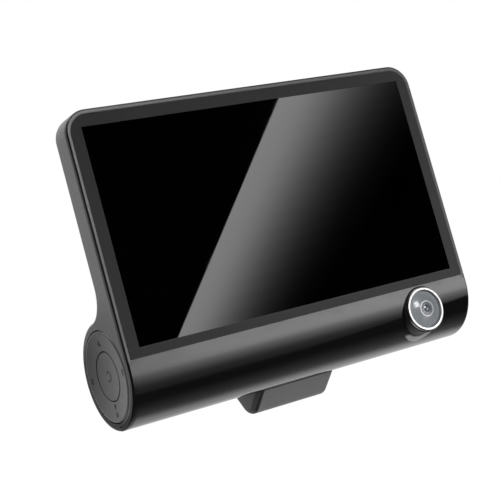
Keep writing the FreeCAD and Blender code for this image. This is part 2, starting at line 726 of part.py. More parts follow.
def ok_button():
    """Centre key with a retaining flange and a stem."""
    soft = 0.12
    return key_revolve([
        *dish_line(0, OK_R - soft, 8), (OK_R, dish_depth(OK_R) + soft), (OK_R, 3.05), (6.05, 3.05),
        (6.05, 3.4), (1.6, 3.4), (1.6, 4.9), (0, 4.9),
    ])


def backing_disc(d0, d1):
    """A disc behind the keys, notched where the screen's tray passes."""
    return key_disc(d0, d1, KEY_DISC_R).cut(box(-BIG, 0, -BIG, 4.3, PANEL_Z0 - 0.3, BIG))


def key_frame():
    """Fixed plate behind the keys, with cradles for the gimbal's ribs."""
    plate = backing_disc(FRAME_D0, FRAME_D1)
    cradles = []
    for side in (-1, 1):
        near, far = sorted((side * (RIB_FROM - 0.05), side * (RIB_TO + 0.05)))
        cradles.append(box(key_x(GIMBAL_AXIS + 0.05), key_x(FRAME_D0 + 0.1),
                           BAR_Y - 1.1, BAR_Y + 1.1, BAR_Z + near, BAR_Z + far))
    plate = fuse(plate, *cradles)
    for side in (-1, 1):
        plate = plate.cut(rib_along_z(side, GIMBAL_AXIS, RIB_R + 0.05, 0.2))
    for y, z in DIRECTIONS:
        plate = plate.cut(key_post(KEY_PLUNGER_AT * y, KEY_PLUNGER_AT * z, 0, 9, 1.05))
    plate = plate.cut(key_disc(0, 9, 2.0))
    for y, z in SCREW_SPOTS:
        plate = plate.cut(key_post(y, z, 0, 9, 0.8))
    return plate


def key_mat():
    """Silicone mat with a low dome under the centre key and each plunger."""
    mat = backing_disc(FRAME_D1 + 0.25, MAT_D1)
    for y, z in SCREW_SPOTS:
        mat = mat.cut(key_post(y, z, 0, 9, 1.0))
    return mat


def key_switches():
    """Five metal dome switches."""
    places = [(0, 0)] + [(KEY_PLUNGER_AT * y * 0.94, KEY_PLUNGER_AT * z * 0.94) for y, z in DIRECTIONS]
    return [key_post(y, z, MAT_D1, MAT_D1 + 0.15, 1.5) for y, z in places]


def key_board():
    board = backing_disc(MAT_D1 + 0.15, BOARD_D1)
    for y, z in SCREW_SPOTS:
        board = board.cut(key_post(y, z, 0, 9, 0.8))
    return board


def key_screws():
    """Two screws through the frame and the board."""
    screws = []
    for y, z in SCREW_SPOTS:
        head = key_post(y, z, FRAME_D0 - 0.5, FRAME_D0, 1.3)
        shaft = key_post(y, z, FRAME_D0 - 0.1, BOARD_D1 + 0.1, 0.75)
        screws.append(fuse(head, shaft))
    return screws


def key_flex():
    return box(key_x(BOARD_D1), key_x(BOARD_D1) + 0.15, BAR_Y - 9, BAR_Y - 6, BAR_Z - 5, BAR_Z + 2)


# ---- road camera, drawn level and then tilted to its rest position -------------------------------------
def level_box(half_w, u0, u1, w0, w1):
    """A box by its reach along the optical axis and its height, both from the bar's axis."""
    return box(-half_w, half_w, BAR_Y + u0, BAR_Y + u1, BAR_Z + w0, BAR_Z + w1)


def optical_rod(u0, u1, radius):
    return rod_y(0, BAR_Z, BAR_Y + u0, BAR_Y + u1, radius)


def tilted(shape):
    moved = shape.copy()
    moved.rotate(BAR_AXIS, X_AXIS, -TILT_DOWN_DEG)
    return moved


def camera_block():
    """The outside of the box that stands out of the bar."""
    block = level_box(CAM_HALF_W, 4.0, CAM_REACH, -CAM_HALF_H, CAM_HALF_H)
    end_edges = [e for e in block.Edges if is_along_x(e) and e.Vertexes[0].Y > BAR_Y + CAM_REACH - 0.1]
    block = block.makeFillet(CAM_CORNER_R, end_edges)
    side_edges = [e for e in block.Edges
                  if all(abs(abs(p.x) - CAM_HALF_W) < 1e-4 for p in e.discretize(5))
                  and e.CenterOfMass.y > BAR_Y + 6]
    block = block.makeFillet(CAM_EDGE_R, side_edges)
    return block.cut(rod_x(BAR_Y, BAR_Z, -BIG, BIG, LIP_R))


def front_camera_housing():
    """Half drum inside the bar, neck, and the box outside it, with a trunnion on each side."""
    drum = rod_x(BAR_Y, BAR_Z, -DRUM_HALF_W, DRUM_HALF_W, DRUM_R)
    drum = drum.common(level_box(BIG, DRUM_BACK, BIG, -BIG, BIG))
    neck = level_box(DRUM_HALF_W, 3.0, LIP_R + 0.5, -NECK_HALF_H, NECK_HALF_H)
    block = camera_block().cut(level_box(BIG, CAP_FROM, BIG, -BIG, BIG))
    bosses = rod_x(BAR_Y, BAR_Z, -DRUM_HALF_W, DRUM_HALF_W, 3.4)
    trunnions = rod_x(BAR_Y, BAR_Z, -PIN_END, PIN_END, PIN_R)
    housing = fuse(drum, neck, block, bosses, trunnions)
    housing = housing.cut(level_box(9.2, -9.0, 11.2, -6.6, 6.6))
    housing = housing.cut(level_box(9.5, 11.0, CAP_FROM + 1, -7.6, 7.6))
    for x, w in CAP_SCREWS:
        post = rod_y(x, BAR_Z + w, BAR_Y + 11.0, BAR_Y + CAP_FROM, 1.5)
        housing = fuse(housing, post).cut(rod_y(x, BAR_Z + w, BAR_Y + 12.5, BIG, 0.6))
    return housing


def front_camera_cap():
    """The box's end wall, with the hole that the lens looks through."""
    cap = camera_block().common(level_box(BIG, CAP_FROM, BIG, -BIG, BIG))
    cap = cap.cut(optical_rod(0, BIG, LENS_HOLE_R))
    for x, w in CAP_SCREWS:
        cap = cap.cut(rod_y(x, BAR_Z + w, 0, BAR_Y + CAP_FROM + 0.5, 0.68))
    return cap


def cap_screws():
    """Two small screws from inside the box that hold its end wall."""
    return [rod_y(x, BAR_Z + w, BAR_Y + 12.8, BAR_Y + CAP_FROM + 0.25, 0.58) for x, w in CAP_SCREWS]


def front_camera_back():
    """Cover over the open back of the half drum."""
    plate = level_box(9.1, DRUM_BACK, DRUM_BACK + 0.9, -6.5, 6.5)
    return plate


def optical_revolve(profile):
    points = [Vector(0, BAR_Y + u, BAR_Z + r) for r, u in profile]
    face = Part.Face(Part.makePolygon(points + [points[0]]))
    return face.revolve(BAR_AXIS, Y_AXIS, 360)


def front_lens_barrel():
    return optical_revolve([
        (3.0, 7.0), (6.0, 7.0), (6.0, 18.5), (5.2, 18.5), (5.2, 16.4), (4.2, 16.0), (4.2, 15.2),
        (3.2, 14.8), (3.2, 14.0), (3.0, 14.0),
    ])


def front_lens_ring():
    """Trim ring clipped on the end wall round the glass."""
    return optical_revolve([
        (5.2, 18.5), (6.6, 18.5), (6.6, 18.8), (6.3, 19.1), (5.45, 19.1), (5.2, 18.85),
    ])


def front_lens_glass():
    return dome(Vector(0, BAR_Y + 17.9, BAR_Z), Y_AXIS, 5.15, 1.5, 0.6)


def front_lens_element():
    return dome(Vector(0, BAR_Y + 14.0, BAR_Z), Y_AXIS, 2.9, 0.9, 2.0)


def front_lens_holder():
    """Square foot between the barrel and the sensor board."""
    foot = level_box(6.2, 3.6, 7.0, -6.2, 6.2)
    return foot.cut(optical_rod(3.0, 7.5, 3.0))


def front_sensor_board():
    board = level_box(8.6, 2.6, 3.4, -6.3, 6.3)
    chip = level_box(2.0, 3.3, 3.9, -2.0, 2.0)
    return fuse(board, chip)


def lens_bracket(side):
    """Plate that carries a trunnion, with an ear clamped by the nearest cover screw."""
    x0, x1 = sorted((side * BRACKET_X0, side * BRACKET_X1))
    plate = rod_x(BAR_Y, BAR_Z, x0, x1, INNER_R - 0.25)
    plate = plate.common(box(-BIG, BIG, 8.6, BIG, -BIG, BIG))
    ex0, ex1 = sorted((side * (BRACKET_X1 - 0.5), side * 18.4))
    ear = box(ex0, ex1, POST_END, POST_END + EAR_T, POST_Z - 2.0, POST_Z + 2.0)
    bracket = fuse(plate, ear)
    bracket = bracket.cut(rod_x(BAR_Y, BAR_Z, -BIG, BIG, PIN_R + 0.05))
    return bracket.cut(rod_y(side * POST_XS[2], POST_Z, 0, BIG, SCREW_R + 0.1))


def friction_washers():
    gap = 0.04
    return [tube(Vector(s * (DRUM_HALF_W + gap), BAR_Y, BAR_Z), Vector(s * (BRACKET_X0 - gap), BAR_Y, BAR_Z),
                 3.3, PIN_R + 0.1) for s in (-1, 1)]


# ---- everything ----------------------------------------------------------------------------------------
def main():
    os.makedirs("parts", exist_ok=True)
    body = body_solid(0, HALF_W, CORNER_R)
    save("front_cover", front_cover(body))
    save("rear_cover", rear_cover(body))
    save("bracket_socket", bracket_socket())
    save("socket_screws", *socket_screws())
    save("case_screws", *case_screws())

    save("screen_bezel", screen_bezel())
    save("display_glass", display_glass())
    save("display_gasket", display_gasket())
    save("display_panel", display_panel())
    save("backlight_tray", backlight_tray())
    save("display_flex", display_flex())
    save("main_board", main_board())
    save("shield_can", shield_can())
    save("board_chips", *board_chips())

    save("port_board", port_board())
    save("usb_socket", usb_socket())
    save("usb_tongue", usb_tongue())
    save("av_jack", av_jack())
    save("microphone", microphone())
    save("card_board", card_board())
    save("card_socket", card_socket())
    save("speaker_frame", speaker_frame())
    save("speaker_cone", speaker_cone())
    save("battery", battery())

    save("cabin_lens_collar", cabin_lens_collar())
    save("cabin_lens_ring", cabin_lens_ring())
    save("cabin_lens_glass", cabin_lens_glass())
    save("cabin_lens_baffle", cabin_lens_baffle())
    save("cabin_lens_element", cabin_lens_element())
    save("cabin_lens_seat", cabin_lens_seat())
    save("cabin_sensor_board", cabin_sensor_board())
    save("cabin_camera_flex", cabin_camera_flex())

    save("nav_ring", nav_ring())
    save("rocker_gimbal", rocker_gimbal())
    save("ok_button", ok_button())
    save("key_frame", key_frame())
    save("key_mat", key_mat())
    save("key_switches", *key_switches())
    save("key_board", key_board())
    save("key_screws", *key_screws())
    save("key_flex", key_flex())

    for name, shape in (
        ("front_camera_housing", front_camera_housing()),
        ("front_camera_cap", front_camera_cap()),
        ("front_camera_back", front_camera_back()),
        ("front_lens_barrel", front_lens_barrel()),
        ("front_lens_ring", front_lens_ring()),
        ("front_lens_glass", front_lens_glass()),
        ("front_lens_element", front_lens_element()),
        ("front_lens_holder", front_lens_holder()),
        ("front_sensor_board", front_sensor_board()),
    ):
        save(name, tilted(shape))
    save("cap_screws", *[tilted(s) for s in cap_screws()])
    save("lens_bracket_left", lens_bracket(-1))
    save("lens_bracket_right", lens_bracket(1))
    save("friction_washers", *friction_washers())


main()
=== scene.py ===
import json
import math

import bmesh
import bpy
from mathutils import Matrix, Vector
from mathutils.bvhtree import BVHTree


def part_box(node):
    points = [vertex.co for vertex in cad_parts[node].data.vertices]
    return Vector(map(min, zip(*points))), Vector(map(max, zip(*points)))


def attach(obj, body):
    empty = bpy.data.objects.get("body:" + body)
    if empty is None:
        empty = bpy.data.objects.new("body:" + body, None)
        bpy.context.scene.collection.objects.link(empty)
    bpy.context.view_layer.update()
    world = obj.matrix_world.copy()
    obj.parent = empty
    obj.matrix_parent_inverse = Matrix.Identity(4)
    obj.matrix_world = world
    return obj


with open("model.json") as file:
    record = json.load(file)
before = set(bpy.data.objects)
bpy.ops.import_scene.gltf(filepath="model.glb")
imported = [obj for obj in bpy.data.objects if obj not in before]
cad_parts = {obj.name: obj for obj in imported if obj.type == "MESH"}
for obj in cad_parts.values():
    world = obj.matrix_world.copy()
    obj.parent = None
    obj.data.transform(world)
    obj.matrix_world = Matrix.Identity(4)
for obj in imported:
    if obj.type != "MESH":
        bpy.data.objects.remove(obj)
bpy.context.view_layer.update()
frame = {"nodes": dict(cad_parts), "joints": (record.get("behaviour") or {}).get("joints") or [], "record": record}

MM = 0.001
NODES = frame["nodes"]
RECORD = frame["record"]

# Landmarks from the CAD, and the camera in millimetres from the middle of the screen
GLASS_LOW, GLASS_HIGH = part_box("display_glass")
FRONT_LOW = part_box("front_cover")[0]
BEZEL_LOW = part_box("screen_bezel")[0]
SCREEN = Vector(((GLASS_LOW.x + GLASS_HIGH.x) / 2, FRONT_LOW.y, (GLASS_LOW.z + GLASS_HIGH.z) / 2))
TILT = next(j for j in frame["joints"] if j["name"] == "front_camera_tilt")
BAR_AXIS = Vector(TILT["pos_m"])
COVER_LOW, COVER_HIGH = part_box("rear_cover")
RING_LOW, RING_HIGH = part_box("cabin_lens_ring")
CABIN = Vector(((RING_LOW.x + RING_HIGH.x) / 2, RING_LOW.y, (RING_LOW.z + RING_HIGH.z) / 2))
LEFT_END = COVER_LOW.x
CAMERA_AT = Vector((-155.2, -239.4, -33.4))
CAMERA_TARGET = Vector((-11.065, 0, -9.4))
CAMERA_ROLL = -15.377
CAMERA_LENS = 88.4


def at_screen(x, y, z):
    """A point in millimetres from the middle of the screen, on the body's front plane."""
    return SCREEN + Vector((x, y, z)) * MM


# ---- materials -----------------------------------------------------------------------------------------
class Paint:
    """One node material, built up a layer at a time."""

    def __init__(self, name, colour, rough, metallic=0.0, **sockets):
        self.material = bpy.data.materials.new(name)
        self.material.use_nodes = True
        self.tree = self.material.node_tree
        self.shader = self.tree.nodes["Principled BSDF"]
        self.set("Base Color", (*colour, 1.0))
        self.set("Roughness", rough)
        self.set("Metallic", metallic)
        for socket, value in sockets.items():
            self.set(socket.replace("_", " "), value)
        self.colour = colour
        self.rough = rough
        self.normal = None
        self.coordinates = self.node("ShaderNodeTexCoord").outputs["Object"]

    def set(self, socket, value):
        self.shader.inputs[socket].default_value = value

    def node(self, kind, **values):
        made = self.tree.nodes.new(kind)
        for key, value in values.items():
            setattr(made, key, value)
        return made

    def link(self, source, target):
        self.tree.links.new(source, target)

    def math(self, operation, a, b=None):
        """One Math node; a and b are sockets or numbers."""
        made = self.node("ShaderNodeMath", operation=operation)
        for socket, value in zip(made.inputs, (a, b)):
            if isinstance(value, (int, float)):
                socket.default_value = value
            elif value is not None:
                self.link(value, socket)
        return made.outputs["Value"]

    def noise(self, size, detail=3.0, roughness=0.55, stretch=(1, 1, 1)):
        """Noise whose features are about size metres across."""
        mapping = self.node("ShaderNodeMapping")
        mapping.inputs["Scale"].default_value = stretch
        texture = self.node("ShaderNodeTexNoise")
        texture.inputs["Scale"].default_value = 1.0 / size
        texture.inputs["Detail"].default_value = detail
        texture.inputs["Roughness"].default_value = roughness
        self.link(self.coordinates, mapping.inputs["Vector"])
        self.link(mapping.outputs["Vector"], texture.inputs["Vector"])
        return texture.outputs["Fac"]

    def between(self, value, low, high, from_low=0.3, from_high=0.7):
        """Runs from low to high while value goes from from_low to from_high, and stays level beyond."""
        spread = self.node("ShaderNodeMapRange")
        spread.inputs["From Min"].default_value = from_low
        spread.inputs["From Max"].default_value = from_high
        spread.inputs["To Min"].default_value = low
        spread.inputs["To Max"].default_value = high
        self.link(value, spread.inputs["Value"])
        return spread.outputs["Result"]

    def vary_colour(self, value, darker, lighter):
        """Runs the base colour between two multiples of itself."""
        ramp = self.node("ShaderNodeValToRGB")
        ramp.color_ramp.elements[0].position = 0.3
        ramp.color_ramp.elements[1].position = 0.7
        ramp.color_ramp.elements[0].color = (*[min(1, c * darker) for c in self.colour], 1)
        ramp.color_ramp.elements[1].color = (*[min(1, c * lighter) for c in self.colour], 1)
        self.link(value, ramp.inputs["Fac"])
        self.link(ramp.outputs["Color"], self.shader.inputs["Base Color"])
        return self

    def vary_rough(self, value, spread):
        low, high = max(0.0, self.rough - spread), min(1.0, self.rough + spread)
        self.link(self.between(value, low, high), self.shader.inputs["Roughness"])
        return self

    def bump(self, value, depth, strength=1.0):
        """Raises the surface by up to depth metres; later calls add to earlier ones."""
        made = self.node("ShaderNodeBump")
        made.inputs["Strength"].default_value = strength
        made.inputs["Distance"].default_value = depth
        self.link(value, made.inputs["Height"])
        if self.normal:
            self.link(self.normal, made.inputs["Normal"])
        self.normal = made.outputs["Normal"]
        self.link(self.normal, self.shader.inputs["Normal"])
        return self


def toned(colour, tone):
    return [c * tone for c in colour]


def set_stops(ramp, stops, colour=(1.0, 1.0, 1.0)):
    """Sets a colour ramp to multiples of a colour, by (position, multiple) stops."""
    elements = ramp.color_ramp.elements
    for position, _ in stops[1:-1]:
        elements.new(position)
    for element, (position, multiple) in zip(elements, stops):
        element.position = position
        element.color = (*toned(colour, multiple), 1)


def colour_between(paint, low, high, share):
    """A colour that runs from low to high by a share from 0 to 1."""
    shade = paint.node("ShaderNodeValToRGB")
    shade.color_ramp.elements[0].color = (*low, 1)
    shade.color_ramp.elements[1].color = (*high, 1)
    paint.link(share, shade.inputs["Fac"])
    return shade.outputs["Color"]


def speckled(paint, colour, speckle, share, blend="MULTIPLY"):
    """Gives the shader a colour with a share of a noise mixed in."""
    mix = paint.node("ShaderNodeMix", data_type="RGBA", blend_type=blend)
    mix.inputs["Factor"].default_value = share
    paint.link(colour, mix.inputs["A"])
    paint.link(speckle, mix.inputs["B"])
    paint.link(mix.outputs["Result"], paint.shader.inputs["Base Color"])


MOTTLE = 1.1 * MM
GRAIN = 0.25 * MM
GRAIN_DEPTH = 0.012 * MM


def grained(paint, grain, depth):
    """Ends a plastic with the fine even grain of a spark-eroded mould."""
    paint.vary_rough(paint.noise(0.9 * MM, 3), 0.05)
    paint.bump(paint.noise(grain, 2, 0.6), depth, 0.8)
    return paint.material


def moulded_plastic(name, colour, rough, grain=GRAIN, depth=GRAIN_DEPTH):
    """Moulded plastic: fine even grain and slight shade changes."""
    paint = Paint(name, colour, rough)
    paint.vary_colour(paint.noise(MOTTLE, 5, 0.7), 0.95, 1.05)
    return grained(paint, grain, depth)


def mottled(paint, colour, grain=GRAIN, depth=GRAIN_DEPTH):
    """Ends a painted plastic: its colour with faint mottling, and the grain."""
    speckled(paint, colour, paint.noise(MOTTLE, 5, 0.7), 0.06, "OVERLAY")
    return grained(paint, grain, depth)


def from_point(paint, point):
    """The way from a point to the place that is being painted."""
    way = paint.node("ShaderNodeVectorMath", operation="SUBTRACT")
    paint.link(paint.coordinates, way.inputs[0])
    way.inputs[1].default_value = point
    return way.outputs["Vector"]


def split_axes(paint, vector):
    split = paint.node("ShaderNodeSeparateXYZ")
    paint.link(vector, split.inputs["Vector"])
    return split.outputs


def reach_along(paint, vector, way):
    """How far a vector reaches along a unit way."""
    reach = paint.node("ShaderNodeVectorMath", operation="DOT_PRODUCT")
    paint.link(vector, reach.inputs[0])
    reach.inputs[1].default_value = way
    return reach.outputs["Value"]


def from_lens_axis(paint):
    """Distance from the cabin camera's axis, which runs along Y."""
    flat = paint.node("ShaderNodeMapping", vector_type="POINT")
    flat.inputs["Scale"].default_value = (1, 0, 1)
    paint.link(from_point(paint, CABIN), flat.inputs["Vector"])
    radius = paint.node("ShaderNodeVectorMath", operation="LENGTH")
    paint.link(flat.outputs["Vector"], radius.inputs[0])
    return radius.outputs["Value"]


END_SHADE = 0.355
DEEPEST_SHADE = 0.1
KEY_RING_EDGE = (12.45 * MM, 13.6 * MM)
END_FADE = (13.0 * MM, 20.0 * MM)
LOW_BACK = (0.0, 0.8, -0.6)
LOW_BACK_SPAN = (0.0, 0.45)


def end_ring_plastic(name, colour, rough):
    """The rear cover: moulded plastic, with painted shade on the bar's left end, darkest on the low back of the
    ring round the keys."""
    paint = Paint(name, colour, rough)
    from_axis = from_point(paint, BAR_AXIS)
    place = split_axes(paint, from_axis)
    radius = paint.math("SQRT", paint.math("ADD", paint.math("POWER", place["Y"], 2.0),
                                           paint.math("POWER", place["Z"], 2.0)))
    low_back = reach_along(paint, from_axis, LOW_BACK)
    turned = paint.between(paint.math("DIVIDE", low_back, radius), END_SHADE, 1.0, *LOW_BACK_SPAN)
    at_end = paint.between(place["X"], 1.0, 0.0, LEFT_END + 0.6 * MM, LEFT_END + 1.6 * MM)
    on_ring = paint.between(radius, 1.0, 0.0, *KEY_RING_EDGE)
    near = paint.between(radius, END_SHADE, 0.0, *END_FADE)
    # Painted shade: the end face darkens round the bar's axis, most on the low back of the key ring.
    deepest = paint.math("MAXIMUM", paint.math("MULTIPLY", turned, on_ring), near)
    dark = paint.math("MULTIPLY", deepest, at_end)
    return mottled(paint, colour_between(paint, colour, toned(colour, DEEPEST_SHADE), dark))


def painted_light_plastic(name, colour, rough, centre, way, reach, tones, **sockets):
    """Satin plastic with painted light and shade: its tone runs between two multiples of its colour, from -reach
    to reach along way.
    """
    paint = Paint(name, colour, rough, **sockets)
    # Painted light and shade: a tone gradient along way.
    painted_light_share = paint.between(reach_along(paint, from_point(paint, centre), way), 0.0, 1.0, -reach, reach)
    low, high = [toned(colour, tone) for tone in tones]
    return mottled(paint, colour_between(paint, low, high, painted_light_share), 0.15 * MM, 0.003 * MM)


CAMERA_DOWN = math.radians(38)
CAMERA_HALF_H = 9.6 * MM
CAMERA_EDGE_R = 1.4 * MM
SIDE_SHADE = 0.52
EDGE_REFLECTION_STOPS = ((0.0, 0.75), (0.2, 0.35), (0.36, 0.03), (0.62, 0.02), (0.74, 1.0))


def block_plastic(name, colour, rough):
    """The road camera's box: moulded plastic, with painted shade on its left side and a painted dark reflection
    along that side's lower edge.
    """
    paint = Paint(name, colour, rough)
    across = split_axes(paint, paint.coordinates)["X"]
    upright = (0, math.sin(CAMERA_DOWN), math.cos(CAMERA_DOWN))
    underside = CAMERA_EDGE_R - CAMERA_HALF_H
    height = reach_along(paint, from_point(paint, BAR_AXIS), upright)
    low = paint.between(height, 1.0, 0.0, underside, underside + 0.6 * MM)
    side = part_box("front_camera_cap")[0].x
    # Painted shade on the left side, and a painted dark reflection on its lower rounded edge.
    side_painted_shade = paint.between(across, SIDE_SHADE, 1.0, side + 0.1 * MM, side + 0.4 * MM)
    edge = paint.node("ShaderNodeValToRGB")
    set_stops(edge, EDGE_REFLECTION_STOPS)
    paint.link(paint.between(across, 0.0, 1.0, side, side + 1.4 * CAMERA_EDGE_R), edge.inputs["Fac"])
    edge_painted_reflection = paint.math("MULTIPLY", low, paint.math("SUBTRACT", 1.0, edge.outputs["Color"]))
    tone = paint.math("MULTIPLY", side_painted_shade, paint.math("SUBTRACT", 1.0, edge_painted_reflection))
    return mottled(paint, colour_between(paint, (0, 0, 0), colour, tone))


def gloss_plastic(name, colour, rough=0.06):
    """High-gloss moulding: nearly a mirror, with faint flow ripple and fine wipe marks."""
    paint = Paint(name, colour, rough, Coat_Weight=0.25, Coat_Roughness=0.03)
    paint.vary_colour(paint.noise(9 * MM, 2), 0.85, 1.15)
    paint.vary_rough(paint.noise(6 * MM, 5, 0.7, (1, 1, 3)), 0.03)
    paint.bump(paint.noise(14 * MM, 1), 0.006 * MM, 0.5)
    return paint.material


RIM_CORNER = 5.5 * MM
BEAD = ((0.28, 0.0), (0.50, 1.0), (1.12, 1.0), (1.25, 0.0))
# The painted highlight below the cabin camera: where it lies, and its grey.
HIGHLIGHT_INNER = (5.9 * MM, 6.2 * MM)
HIGHLIGHT_OUTER = (6.9 * MM, 7.1 * MM)
HIGHLIGHT_TOP = (-5.4 * MM, -4.9 * MM)
HIGHLIGHT_GREY = (0.32, 0.32, 0.32)
BEAD_ROUGH = 0.35
GLOSS_ROUGH = (0.03, 0.09)


def inward_of_rim(paint, place):
    """How far a place lies inside the rim's outline, whose top corners are round."""
    past_side = paint.math("SUBTRACT", paint.math("ABSOLUTE", place["X"]), -LEFT_END - RIM_CORNER)
    past_top = paint.math("SUBTRACT", place["Z"], COVER_HIGH.z - RIM_CORNER)
    corner = paint.node("ShaderNodeCombineXYZ")
    paint.link(paint.math("MAXIMUM", past_side, 0.0), corner.inputs["X"])
    paint.link(paint.math("MAXIMUM", past_top, 0.0), corner.inputs["Z"])
    reach = paint.node("ShaderNodeVectorMath", operation="LENGTH")
    paint.link(corner.outputs["Vector"], reach.inputs[0])
    return paint.math("SUBTRACT", RIM_CORNER, reach.outputs["Value"])


def rim_bead(paint, place, inward, above):
    """The matt share on the front of the rim, by BEAD's (millimetres inward, share) stops."""
    widest = BEAD[-1][0] * 1.1
    band = paint.node("ShaderNodeValToRGB")
    set_stops(band, [(offset / widest, share) for offset, share in BEAD])
    paint.link(paint.between(inward, 0.0, 1.0, 0.0, widest * MM), band.inputs["Fac"])
    forward = paint.between(place["Y"], 1.0, 0.0, FRONT_LOW.y + 0.2 * MM, FRONT_LOW.y + 0.4 * MM)
    return paint.math("MULTIPLY", paint.math("MULTIPLY", band.outputs["Color"], above), forward)


def lens_painted_highlight(paint, place):
    """1 on the painted highlight below the cabin camera."""
    radius = from_lens_axis(paint)
    outer = paint.between(radius, 1.0, 0.0, *HIGHLIGHT_OUTER)
    inner = paint.between(radius, 0.0, 1.0, *HIGHLIGHT_INNER)
    below = paint.between(place["Z"], 1.0, 0.0, CABIN.z + HIGHLIGHT_TOP[0], CABIN.z + HIGHLIGHT_TOP[1])
    return paint.math("MULTIPLY", paint.math("MULTIPLY", outer, inner), below)


def dull_end(paint, place):
    """Takes the shine off the lower part of the cover's left end."""
    at_end = paint.between(place["X"], 1.0, 0.0, LEFT_END + 0.9 * MM, LEFT_END + 1.5 * MM)
    under = paint.between(place["Z"], 1.0, 0.0, BAR_AXIS.z - 11.0 * MM, BAR_AXIS.z - 1.0 * MM)
    dull = paint.math("MULTIPLY", at_end, under)
    paint.link(paint.between(dull, 0.5, 0.1, 0.0, 1.0), paint.shader.inputs["Specular IOR Level"])
    paint.link(paint.between(dull, 0.2, 0.0, 0.0, 1.0), paint.shader.inputs["Coat Weight"])


def cover_plastic(name, gloss, matt):
    """The front cover: high gloss, with a matt bead round the screen, a painted highlight below the cabin camera
    and a duller left end."""
    paint = Paint(name, gloss, 0.06, Coat_Weight=0.2, Coat_Roughness=0.03)
    place = split_axes(paint, paint.coordinates)
    inward = inward_of_rim(paint, place)
    above = paint.between(place["Z"], 0.0, 1.0, BEZEL_LOW.z - 1.0 * MM, BEZEL_LOW.z)
    # Painted highlight: a pale grey streak on the bar below the cabin camera.
    lit = paint.node("ShaderNodeMix", data_type="RGBA")
    lit.inputs["B"].default_value = (*HIGHLIGHT_GREY, 1)
    paint.link(lens_painted_highlight(paint, place), lit.inputs["Factor"])
    paint.link(colour_between(paint, gloss, matt, rim_bead(paint, place, inward, above)), lit.inputs["A"])
    speckled(paint, lit.outputs["Result"], paint.noise(0.5 * MM, 3), 0.25)
    on_rim = paint.between(inward, 1.0, 0.0, BEAD[-2][0] * MM, BEAD[-1][0] * MM)
    matted = paint.math("MULTIPLY", paint.between(above, 0.0, BEAD_ROUGH, 0.0, 1.0), on_rim)
    gloss_marks = paint.between(paint.noise(6 * MM, 5, 0.7, (1, 1, 3)), *GLOSS_ROUGH)
    paint.link(paint.math("ADD", matted, gloss_marks), paint.shader.inputs["Roughness"])
    paint.bump(paint.noise(14 * MM, 1), 0.006 * MM, 0.5)
    dull_end(paint, place)
    return paint.material


def screen_black(name):
    """Polished cover glass over a screen that is off: flat, with only faint smears in its gloss."""
    paint = Paint(name, (0.0004, 0.0004, 0.0005), 0.012)
    paint.vary_colour(paint.noise(20 * MM, 2), 0.6, 1.4)
    paint.vary_rough(paint.noise(11 * MM, 4, 0.6, (1, 1, 0.4)), 0.01)
    return paint.material


def brushed_metal(name, colour, rough, along=(0.15, 1, 1)):
    paint = Paint(name, colour, rough, 1.0)
    lines = paint.noise(0.12 * MM, 3, 0.6, along)
    paint.vary_colour(paint.noise(2.5 * MM, 4), 0.88, 1.08)
    paint.vary_rough(lines, 0.08)
    paint.bump(lines, 0.004 * MM, 0.7)
    return paint.material


def plated_metal(name, colour, rough):
    paint = Paint(name, colour, rough, 1.0)
    paint.vary_colour(paint.noise(1.6 * MM, 3), 0.94, 1.04)
    paint.vary_rough(paint.noise(0.5 * MM, 4), 0.05)
    paint.bump(paint.noise(0.3 * MM, 2), 0.002 * MM, 0.5)
    return paint.material


def rubber(name, colour):
    paint = Paint(name, colour, 0.75, Sheen_Weight=0.15, Sheen_Roughness=0.5)
    paint.vary_colour(paint.noise(1.5 * MM, 4), 0.85, 1.15)
    paint.vary_rough(paint.noise(0.6 * MM, 3), 0.08)
    paint.bump(paint.noise(0.2 * MM, 3), 0.01 * MM, 0.7)
    return paint.material


def lens_glass(name, colour, rough, transmission):
    """Coated lens glass: clear, with a faint coloured bloom that changes across it."""
    paint = Paint(name, colour, rough, Transmission_Weight=transmission, IOR=1.5, Coat_Weight=0.6,
                  Coat_Roughness=0.02, Coat_IOR=1.7)
    paint.set("Coat Tint", (0.80, 0.88, 1.0, 1.0))
    paint.vary_colour(paint.noise(3 * MM, 2), 0.92, 1.05)
    paint.vary_rough(paint.noise(0.8 * MM, 3), 0.01)
    return paint.material


FUNNEL_SHARE = 0.84
FUNNEL_SHADE_TONES = ((0.0, 0.50), (0.26, 0.55), (0.40, 0.60), (0.47, 0.80), (0.62, 0.84), (0.86, 1.0), (0.97, 1.3))


def cabin_glass(name, colour):
    """Domed front glass, with the grey funnel behind it painted on, in painted shade that darkens towards the
    pupil.
    """
    paint = Paint(name, colour, 0.3, IOR=1.5, Coat_Weight=0.7, Coat_Roughness=0.12)
    paint.set("Coat Tint", (0.93, 0.93, 1.0, 1.0))
    # Painted shade: the funnel's grey darkens towards the pupil.
    funnel = paint.node("ShaderNodeValToRGB")
    set_stops(funnel, FUNNEL_SHADE_TONES, colour)
    funnel_r = FUNNEL_SHARE * (RING_HIGH.x - RING_LOW.x) / 2
    paint.link(paint.between(from_lens_axis(paint), 0.0, 1.0, 0.0, funnel_r), funnel.inputs["Fac"])
    speckled(paint, funnel.outputs["Color"], paint.noise(1.2 * MM, 2), 0.1)
    paint.vary_rough(paint.noise(0.8 * MM, 3), 0.01)
    return paint.material


